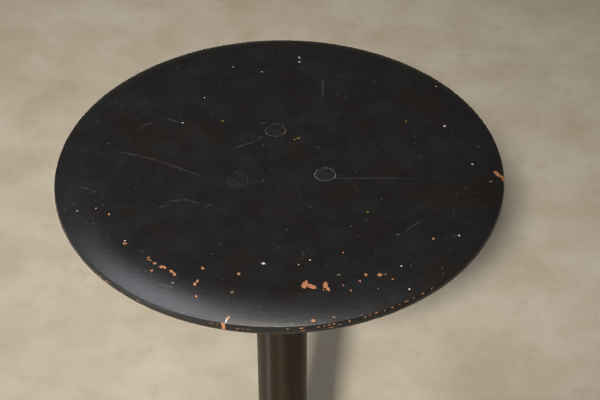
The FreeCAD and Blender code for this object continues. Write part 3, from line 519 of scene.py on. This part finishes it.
profile = [(0, SEAT_BOTTOM)] + [(SEAT_RADIUS * k / 10, SEAT_BOTTOM) for k in range(1, 10)]
for k in range(9):
    a = math.radians(90 * k / 8)
    radius = SEAT_RADIUS - UNDER_ROUND + UNDER_ROUND * math.sin(a)
    profile.append((radius, SEAT_BOTTOM + UNDER_ROUND * (1 - math.cos(a))))
profile.append((SEAT_RADIUS, ARRIS - 1.7, 0.6))
FLAT_RADIUS = SEAT_RADIUS - SHOULDER
sweep = math.asin((SHOULDER - RIM_BEVEL) / SHOULDER_ROUND)
for k in range(24, -1, -1):
    a = sweep * k / 24
    radius = FLAT_RADIUS + SHOULDER_ROUND * math.sin(a)
    profile.append((radius, SEAT_TOP - SHOULDER_ROUND * (1 - math.cos(a))))
profile += [(FLAT_RADIUS * k / 8, SEAT_TOP) for k in range(7, 0, -1)] + [(0, SEAT_TOP)]
bm = bmesh.new()
turned(bm, profile, 360)
board = made("board", bm)
HEAD_LOW = SEAT_TOP - HEAD_THICK
recess = [(0, HEAD_LOW), (HEAD_RADIUS + HEAD_GAP, HEAD_LOW)]
recess += [(HEAD_RADIUS + HEAD_GAP, SEAT_TOP + 1), (0, SEAT_TOP + 1)]
BOLTS = [spun(a, (BOLT_CIRCLE, 0, 0)) for a in BOLT_ANGLES]
carve(board, recess, BOLTS)

# Marks in the paint, as (x, y, length, width, angle) on the seat in mm and degrees. Chips go down to
# clean wood, thin wear shows a tan undercoat, specks are dried splashes of pale and yellow paint, and
# scuffs only grey the black.
CHIPS = [
    (18.9, -141.3, 6.4, 4.2, 81), (20.0, -138.2, 3.6, 2.3, 83), (23.6, -142.7, 8.0, 4.0, -32),
    (33.7, -141.4, 6.5, 3.3, 76), (35.3, -145.0, 5.6, 2.1, -62), (32.2, -146.0, 1.7, 1.1, -44),
    (63.1, -130.9, 3.2, 2.3, 86), (73.0, -130.8, 3.3, 2.9, 10), (58.4, -137.3, 1.9, 1.5, -14),
    (46.7, -141.5, 1.8, 1.4, -81), (52.0, -146.2, 1.6, 1.3, 80), (82.4, -134.0, 1.3, 1.1, -51),
    (114.1, -92.1, 2.6, 1.9, -59), (47.1, -106.7, 1.9, 1.2, 88), (-138.1, -55.6, 1.6, 1.2, -69),
    (-127.5, -62.3, 2.8, 1.7, -84), (-113.2, -95.3, 3.3, 2.1, 12), (-95.3, -111.2, 2.8, 1.2, 31),
    (-93.9, -113.5, 3.6, 1.1, -26), (-90.0, -117.2, 2.7, 2.4, -30), (-85.0, -121.0, 3.1, 2.9, -78),
    (-82.8, -121.7, 3.7, 2.0, -50), (-77.5, -125.6, 3.6, 2.2, -51), (-75.1, -128.7, 3.7, 2.2, -61),
    (-91.7, -124.0, 2.1, 1.7, 33), (-55.0, -122.9, 2.8, 2.2, -82), (-58.4, -136.5, 3.1, 1.9, 75),
    (-60.0, -139.4, 2.8, 2.3, -86), (-58.6, -149.7, 2.0, 1.4, -28), (-28.7, -129.2, 3.0, 2.0, -87),
    (-35.1, -167.0, 2.2, 1.6, -13), (-38.9, -170.6, 2.6, 1.4, -17), (24.7, -169.8, 3.3, 1.4, -1),
    (168.8, -10.4, 6.4, 4.6, -54), (173.2, -12.8, 6.4, 3.0, -84),
]
THIN = [
    (76.6, -130.1, 3.8, 0.7, 18), (43.6, -130.7, 2.6, 1.7, 10), (88.4, -87.1, 2.3, 1.2, -20),
    (-76.0, -136.8, 1.9, 1.4, -35), (-32.9, -147.7, 2.7, 1.4, 61), (39.4, -166.8, 1.9, 1.1, 5),
    (162.7, -22.3, 3.0, 1.7, 43),
]
PALE_SPECKS = [
    (-11.0, -118.0, 2.9, 2.2, 0), (131.0, 42.2, 2.4, 2.0, 0), (-152.2, -54.7, 1.5, 1.5, 0),
    (-113.4, -92.4, 1.2, 1.4, 0), (16.2, 136.2, 1.3, 2.2, 0), (16.2, 129.9, 1.3, 2.0, 0),
    (-14.8, 116.2, 1.2, 1.2, 0), (-39.1, 123.4, 1.2, 1.2, 0), (-60.9, 81.4, 1.3, 1.3, 0),
    (-77.2, 48.4, 1.4, 1.4, 0), (23.1, -114.7, 1.5, 1.3, 0), (14.6, -119.5, 1.0, 1.2, 0),
    (149.7, -5.6, 1.6, 1.6, 0), (127.9, 98.6, 1.3, 1.2, 0), (94.1, -139.9, 1.3, 1.3, 0),
    (-37.0, -168.9, 0.9, 3.4, -15), (89.1, -121.5, 1.5, 1.3, 0), (133.6, -86.6, 1.4, 1.3, 0),
]
GREY_SCUFFS = [
    (-40.7, -135.1, 1.8, 1.8, 0), (-35.8, -151.5, 1.3, 1.3, 0), (-70.1, 66.6, 1.2, 1.2, 0),
    (-134.3, 22.8, 1.6, 1.6, 0), (18.2, -107.4, 1.2, 5.0, 8), (17.0, -113.0, 1.2, 3.0, -30),
    (135.0, -41.8, 2.2, 1.2, 60), (141.7, -35.3, 3.2, 1.0, 50), (-100.0, -104.0, 4.5, 1.5, -12),
    (98.6, -29.0, 3.0, 1.2, 80), (-148.0, -31.0, 9.0, 1.2, -30), (-141.0, -36.0, 6.0, 1.2, 25),
    (-106.0, 47.0, 10.0, 1.3, 28), (-86.0, 52.0, 11.0, 1.6, -28), (155.8, 17.8, 5.0, 1.8, -12),
    (-12.5, 47.5, 6.0, 1.6, 10), (-20.0, 88.0, 1.2, 1.4, 0), (47.0, 84.0, 1.3, 1.3, 0),
    (110.0, 4.0, 1.2, 1.2, 0), (-8.0, 3.0, 1.3, 1.1, 0), (-3.0, 5.0, 1.2, 1.2, 0),
    (58.0, -30.0, 1.2, 1.8, 0), (60.0, -36.0, 1.1, 1.8, 0), (-52.0, -52.0, 3.5, 1.8, 10),
]
YELLOW_SPECKS = [
    (-45.5, 50.6, 1.4, 1.4, 0), (15.0, 28.0, 2.1, 1.7, 20), (12.0, 26.2, 1.3, 1.5, 0),
    (66.9, -61.2, 1.5, 1.4, 0), (-84.2, 122.5, 1.0, 1.0, 0), (101.0, 49.2, 1.2, 1.2, 0),
]
# Chips along the rim and the upright edge, as (bearing, height, length, depth) in degrees and mm.
RIM_CHIPS = [
    (-138.6, 551.3, 3.0, 1.3), (-135.7, 551.9, 2.8, 1.3), (-130.5, 550.4, 2.2, 1.0),
    (-125.4, 552.0, 2.4, 1.0), (-105.9, 553.7, 3.2, 0.5), (-104.3, 554.0, 1.6, 0.5),
    (-103.0, 554.6, 3.4, 0.9), (-99.6, 552.6, 3.0, 0.6), (-98.2, 552.9, 2.0, 0.5),
    (-97.0, 552.8, 1.6, 0.5), (-87.8, 553.9, 1.3, 0.7), (-84.6, 554.0, 3.2, 0.8),
    (-84.2, 551.6, 3.6, 0.6), (-80.6, 553.6, 1.6, 0.8), (-79.2, 553.9, 1.4, 0.7),
    (-78.1, 554.1, 2.2, 0.7), (-76.9, 554.4, 2.4, 0.9), (-77.6, 551.8, 4.2, 0.6),
    (-75.6, 553.2, 2.0, 0.7), (-73.2, 554.0, 1.5, 1.1), (-69.3, 554.3, 2.4, 0.7),
    (-68.0, 554.7, 2.2, 0.6), (-66.4, 554.9, 3.2, 0.8), (-64.2, 554.6, 1.8, 0.6),
    (-62.2, 555.0, 3.0, 0.8), (-60.2, 554.8, 1.6, 0.6), (-58.2, 555.0, 4.0, 0.8),
    (-56.0, 554.8, 2.0, 0.7), (-53.4, 555.0, 3.4, 0.9), (-50.6, 554.9, 2.4, 0.8), (17.0, 554.6, 4.0, 0.7),
    (13.0, 554.2, 5.0, 0.6), (9.5, 554.4, 3.0, 0.6),
]
# Scratches, each a row of points that it runs through.
SCRATCHES = [
    [(-91, -55.5), (-86, -53), (-81, -51.5)],
    [(-82, -48), (-74, -46), (-67, -47), (-61, -51)],
    [(35, 106), (35, 94), (35, 82)],
    [(-123, 12), (-109, 6), (-95, 2), (-63, -17)],
    [(-13, 31), (-18, 25), (-27, 20), (-35, 16)],
    [(93, -85), (98, -79), (105, -73)],
    [(-85, -137), (-74, -141)],
    [(-70, -160), (-65, -159)],
    [(40, -20), (95, -24)],
]

# Satin black brushing paint on turned wood: nearly black, with the long grain of the board and the
# fine ripple of the brush showing in its sheen, faint grey scuffs, and wood where it has come off.
paint, tree, place = new_finish("satin_black_paint_on_wood")
ragged = cloudy(tree, place, 2.0, 3.0, 0.65)
shift = add(tree, "VectorMath", {"operation": "SUBTRACT"}, _0=ragged.outputs["Color"], _1=(0.5, 0.5, 0.5))
shift = add(tree, "VectorMath", {"operation": "MULTIPLY_ADD"}, _0=shift, _1=(2.0, 2.0, 0.9), _2=place)

# Marks are laid out on grids turned in steps of 10 degrees, and none shows on the underside.
grids = {}
axes = add(tree, "SeparateXYZ", Vector=place)
upper = add(tree, "MapRange", Value=axes.outputs["Z"], From_Min=549, From_Max=550)


def patches(marks, sharp, fade):
    """A mask that is 1 inside the marks, from spots given by centre, size and angle, in mm."""
    nearest = None
    for centre, size, angle in marks:
        step = 10 * round(angle / 10) % 180
        turn = -math.radians(step)
        if step not in grids:
            grids[step] = add(tree, "VectorRotate", {"rotation_type": "Z_AXIS"}, Vector=shift, Angle=turn)
        scale = Vector([2 / length for length in size])
        middle = Matrix.Rotation(turn, 3, "Z") @ Vector(centre)
        shrink = {"operation": "MULTIPLY_ADD"}
        inside = add(tree, "VectorMath", shrink, _0=grids[step], _1=scale, _2=-middle * scale)
        far = add(tree, "VectorMath", {"operation": "LENGTH"}, Vector=inside).outputs["Value"]
        nearest = add(tree, "Math", {"operation": "MINIMUM"}, _0=nearest, _1=far) if nearest else far
    mask = add(tree, "MapRange", Value=nearest, From_Min=fade, From_Max=sharp)
    return times(tree, mask, upper)


def on_top(marks):
    """Marks on the seat's upper side, as spots for patches."""
    return [((x, y, SEAT_TOP), (length, width, 120), angle) for x, y, length, width, angle in marks]


rim = []
for bearing, height, length, depth in RIM_CHIPS:
    a = math.radians(bearing)
    rim.append(((SEAT_RADIUS * math.cos(a), SEAT_RADIUS * math.sin(a), height), (length, length, depth), 0))
strokes = []
for points in SCRATCHES:
    for (x0, y0), (x1, y1) in zip(points, points[1:]):
        middle = ((x0 + x1) / 2, (y0 + y1) / 2, SEAT_TOP)
        size = (math.hypot(x1 - x0, y1 - y0) * 1.1, 1.3, 120)
        strokes.append((middle, size, math.degrees(math.atan2(y1 - y0, x1 - x0))))

chip = patches(on_top(CHIPS) + rim, 0.9, 1.1)
thin = times(tree, patches(on_top(THIN), 0.8, 1.3), 0.6)
pale = patches(on_top(PALE_SPECKS), 0.75, 1.2)
yellow = patches(on_top(YELLOW_SPECKS), 0.7, 1.3)
scuff = patches(on_top(GREY_SCUFFS) + strokes, 0.2, 1.5)

flat = add(tree, "VectorMath", {"operation": "MULTIPLY"}, _0=place, _1=(1, 1, 0))
around = add(tree, "VectorMath", {"operation": "LENGTH"}, Vector=flat).outputs["Value"]
inward = add(tree, "MapRange", Value=around, From_Min=SEAT_RADIUS - 1.2, From_Max=SEAT_RADIUS)
drop = add(tree, "Math", {"operation": "SUBTRACT"}, _0=axes.outputs["Z"], _1=float(ARRIS))
drop = add(tree, "Math", {"operation": "ABSOLUTE"}, _0=drop)
nearby = add(tree, "MapRange", Value=drop, From_Min=1.2, From_Max=0.0)
nearby = times(tree, nearby, inward)
knocks = cloudy(tree, place, 4, 5.0, 0.7)
spells = cloudy(tree, place, 60, 1.0)
rub = times(tree, knocks, spells)
rub = times(tree, rub, nearby)
rub = add(tree, "MapRange", Value=rub, From_Min=0.25, From_Max=0.28)
bare = add(tree, "Math", {"operation": "MAXIMUM"}, _0=chip, _1=rub)

cloud = cloudy(tree, place, 70, 4.0, 0.6)
cloud = add(tree, "MapRange", Value=cloud, From_Min=0.36, From_Max=0.64)
black = blend(tree, cloud, "#120d0a", "#0e1012")
fibre = add(tree, "Mapping", Vector=place, Scale=(1 / 14, 1 / 1.1, 1))
fibre = cloudy(tree, fibre, 1, 4.0, 0.6)
wood = blend(tree, fibre, "#a0653c", "#b67b50")
smears = cloudy(tree, place, 22, 7.0, 0.7)
smears = add(tree, "MapRange", Value=smears, From_Min=0.42, From_Max=0.75, To_Max=0.045)
colour = blend(tree, smears, black, "#6a7478")
dots = add(tree, "TexVoronoi", Vector=place, Scale=1 / 6)
dust = add(tree, "MapRange", Value=dots.outputs["Distance"], From_Min=0.13, From_Max=0.05, To_Max=0.45)
few = add(tree, "SeparateXYZ", Vector=dots.outputs["Color"])
few = add(tree, "MapRange", Value=few, From_Min=0.55, From_Max=1.0)
dust = times(tree, dust, few)
colour = blend(tree, dust, colour, "#7f8283")
scuff = times(tree, scuff, 0.2)
colour = blend(tree, scuff, colour, "#6f7273")
colour = blend(tree, thin, colour, "#8a7a5c")
colour = blend(tree, yellow, colour, "#8a7d2a")
colour = blend(tree, pale, colour, "#c9c9c6")
colour = blend(tree, bare, colour, wood)
board_grain = add(tree, "Mapping", Vector=place, Scale=(1 / 45, 1 / 2.2, 1))
board_grain = cloudy(tree, board_grain, 1, 5.0, 0.65)
ripple = cloudy(tree, place, 2.0, 3.0, 0.6)
sheen = add(tree, "MapRange", Value=board_grain, From_Min=0.3, From_Max=0.7, To_Min=0.43, To_Max=0.37)
gloss = add(tree, "Mix", {"data_type": "FLOAT"}, Factor=bare, A=sheen, B=0.75)
height = add(tree, "Mix", {"data_type": "FLOAT"}, Factor=0.55, A=board_grain, B=ripple)
height = add(tree, "Math", {"operation": "MULTIPLY_ADD"}, _0=bare, _1=-0.8, _2=height)
grain = add(tree, "Bump", Strength=1.0, Distance=0.0002, Height=height)
shown(tree, Base_Color=colour, Roughness=gloss, Specular_IOR_Level=1.0, Normal=grain)
dressed(board, "seat_board", "seat", paint)

# Coach bolts
# Three steel bolts with low domed heads let in flush, square necks that bite into the wood, and
# washers and nuts under the flange. The heads were painted with the seat and their rims are worn.

NECK_LOW = HEAD_LOW - 5
BOLT_END, THREAD_TOP = 523, 545
bm = bmesh.new()
head = [(0, HEAD_LOW), (HEAD_RADIUS, HEAD_LOW), (HEAD_RADIUS, SEAT_TOP - 0.7, 0.5)]
head += [(HEAD_RADIUS * 0.75, SEAT_TOP - 0.36), (HEAD_RADIUS * 0.5, SEAT_TOP - 0.16)]
head += [(HEAD_RADIUS * 0.25, SEAT_TOP - 0.04), (0, SEAT_TOP)]
square = [(-4, -4), (4, -4), (4, 4), (-4, 4)]
neck = [[(x, y, z) for x, y in square] for z in (HEAD_LOW, NECK_LOW)]
neck = [[(0, 0, HEAD_LOW)]] + neck + [[(0, 0, NECK_LOW)]]
core = [(0, BOLT_END + 0.2), (3.5, BOLT_END + 0.2), (3.5, NECK_LOW + 0.2), (0, NECK_LOW + 0.2)]
for bolt in BOLTS:
    turned(bm, head, 64, bolt)
    loft(bm, neck, bolt)
    turned(bm, core, 32, bolt)
    screw_thread(bm, *M8, BOLT_END, THREAD_TOP, 24, bolt)
bolts = made("bolts", bm)

# Worn black paint on steel: the seat's paint, smeared, with a rubbed ring of bare metal round each
# head. The head on the right is painted a lighter bluish grey, a painted reflection of the light on its
# dome.
headpaint, tree, place = new_finish("worn_black_paint_on_steel")
level = add(tree, "VectorMath", {"operation": "MULTIPLY"}, _0=place, _1=(1, 1, 0))
worn = None
for angle, rubbed in zip(BOLT_ANGLES, (1.0, 0.7, 0.2)):
    middle = spun(angle, (BOLT_CIRCLE, 0, 0)).translation
    away = add(tree, "VectorMath", {"operation": "DISTANCE"}, _0=level, _1=middle).outputs["Value"]
    inner = add(tree, "MapRange", Value=away, From_Min=7.7, From_Max=8.1, To_Max=rubbed)
    outer = add(tree, "MapRange", Value=away, From_Min=9.5, From_Max=9.0)
    ring = times(tree, inner, outer)
    worn = add(tree, "Math", {"operation": "MAXIMUM"}, _0=worn, _1=ring) if worn else ring
patch = cloudy(tree, place, 6, 3.0)
held = add(tree, "MapRange", Value=patch, From_Min=0.4, From_Max=0.55, To_Min=0.2, To_Max=1.0)
worn = times(tree, worn, held)
# Painted reflection: heads right of x = 20 mm get a lighter bluish black for the light their domes reflect.
dome_reflection_paint = add(tree, "SeparateXYZ", Vector=place)
dome_reflection_paint = add(tree, "MapRange", Value=dome_reflection_paint.outputs["X"], From_Min=20, From_Max=30)
black = blend(tree, dome_reflection_paint, "#100e0d", "#16171c")
smears = cloudy(tree, place, 4, 5.0, 0.7)
smears = add(tree, "MapRange", Value=smears, From_Min=0.4, From_Max=0.72, To_Max=0.09)
colour = blend(tree, smears, black, "#6a7478")
colour = blend(tree, worn, colour, "#93877a")
gloss = add(tree, "MapRange", Value=worn, To_Min=0.42, To_Max=0.5)
ripple = cloudy(tree, place, 0.9, 2.0)
grain = add(tree, "Bump", Strength=0.5, Distance=0.0002, Height=ripple)
shown(tree, Base_Color=colour, Roughness=gloss, Specular_IOR_Level=1.0, Normal=grain)
dressed(bolts, "coach_bolts", "seat", headpaint)

NUT_LOW, NUT_TOP = 525.9, 532.4
WASHER_TOP = 534
bm = bmesh.new()
for bolt in BOLTS:
    hexagon_nut(bm, M8_FLATS, NUT_LOW, NUT_TOP, 4, bolt)
nuts = made("nuts", bm)
dressed(nuts, "coach_bolt_nuts", "seat", zinc)
washer = [(4.2, NUT_TOP, 0.2), (8.5, NUT_TOP, 0.3), (8.5, WASHER_TOP, 0.5), (4.2, WASHER_TOP, 0.3)]
bm = bmesh.new()
for bolt in BOLTS:
    turned(bm, washer, 48, bolt)
washers = made("washers", bm)
dressed(washers, "coach_bolt_washers", "seat", zinc)

# Studio
# A plain pale floor, a large soft light above and to the left with a low one beside it, a small lamp
# in front, and a camera at the height of someone who looks down at the seat.

FLOOR_RADIUS = 3600
bm = bmesh.new()
turned(bm, [(0, 0), (600, 0), (1500, 0), (FLOOR_RADIUS, 0), (FLOOR_RADIUS, -20), (0, -20)], 96)
floor = made("floor", bm, 60)

# Pale matt floor: soft clouds of two warm greys, with fainter blots.
paper, tree, place = new_finish("pale_matt_floor")
soft = cloudy(tree, place, 90, 5.0, 0.6)
soft = add(tree, "MapRange", Value=soft, From_Min=0.3, From_Max=0.7)
colour = blend(tree, soft, "#b6ab93", "#cdc5b2")
blot = cloudy(tree, place, 28, 4.0, 0.55)
blot = add(tree, "MapRange", Value=blot, From_Min=0.56, From_Max=0.72, To_Max=0.5)
colour = blend(tree, blot, colour, "#b3a78f")
shown(tree, Base_Color=colour, Roughness=0.9)
floor.data.materials.append(paper)


def soft_light(name, place, target, width, depth, power, tint, spread=180):
    """A rectangular soft light that looks at a target, with a grid that narrows it to spread degrees."""
    lamp = bpy.data.lights.new(name, "AREA")
    lamp.shape = "RECTANGLE"
    lamp.size, lamp.size_y = width, depth
    lamp.energy = power
    lamp.color = linear(tint)[:3]
    lamp.spread = math.radians(spread)
    holder = bpy.data.objects.new(name, lamp)
    holder.location = place
    holder.rotation_euler = (Vector(target) - Vector(place)).to_track_quat("-Z", "Y").to_euler()
    holder.visible_camera = False
    bpy.context.collection.objects.link(holder)


soft_light("window", (-1.25, -0.31, 2.31), (0, 0, 0.3), 1.3, 1.3, 17, "#f2f3ff")
soft_light("low_window", (-1.68, -1.09, 0.5), (0, 0, 0.27), 0.6, 0.4, 0.9, "#f6f8ff", 15)
soft_light("front_lamp", (-0.42, -3.29, 3.44), (-0.22, 0.5, 0), 0.24, 0.24, 8.7, "#fffaf3", 33)

world = bpy.data.worlds.new("room")
bpy.context.scene.world = world
world.use_nodes = True
tree = world.node_tree
tree.nodes.clear()
room = add(tree, "Background", Color="#d8ccc0", Strength=0.08)
backdrop = add(tree, "Background", Color="#9d9480")
seen = add(tree, "MixShader", Fac=add(tree, "LightPath").outputs["Is Camera Ray"], _1=room, _2=backdrop)
add(tree, "OutputWorld", Surface=seen)

LOOK_DOWN, TILT = 40.43, -0.34  # degrees below the horizon, and the camera's slight roll
camera = bpy.data.objects.new("camera", bpy.data.cameras.new("camera"))
camera.data.sensor_width = 36
camera.data.lens = 108
camera.matrix_world = (
    Matrix.Translation((0.0159, -1.0839, 1.4482))
    @ Matrix.Rotation(math.radians(90 - LOOK_DOWN), 4, "X")
    @ Matrix.Rotation(math.radians(TILT), 4, "Z")
)
bpy.context.collection.objects.link(camera)
bpy.context.scene.camera = camera
bpy.context.scene.view_settings.view_transform = "Standard"
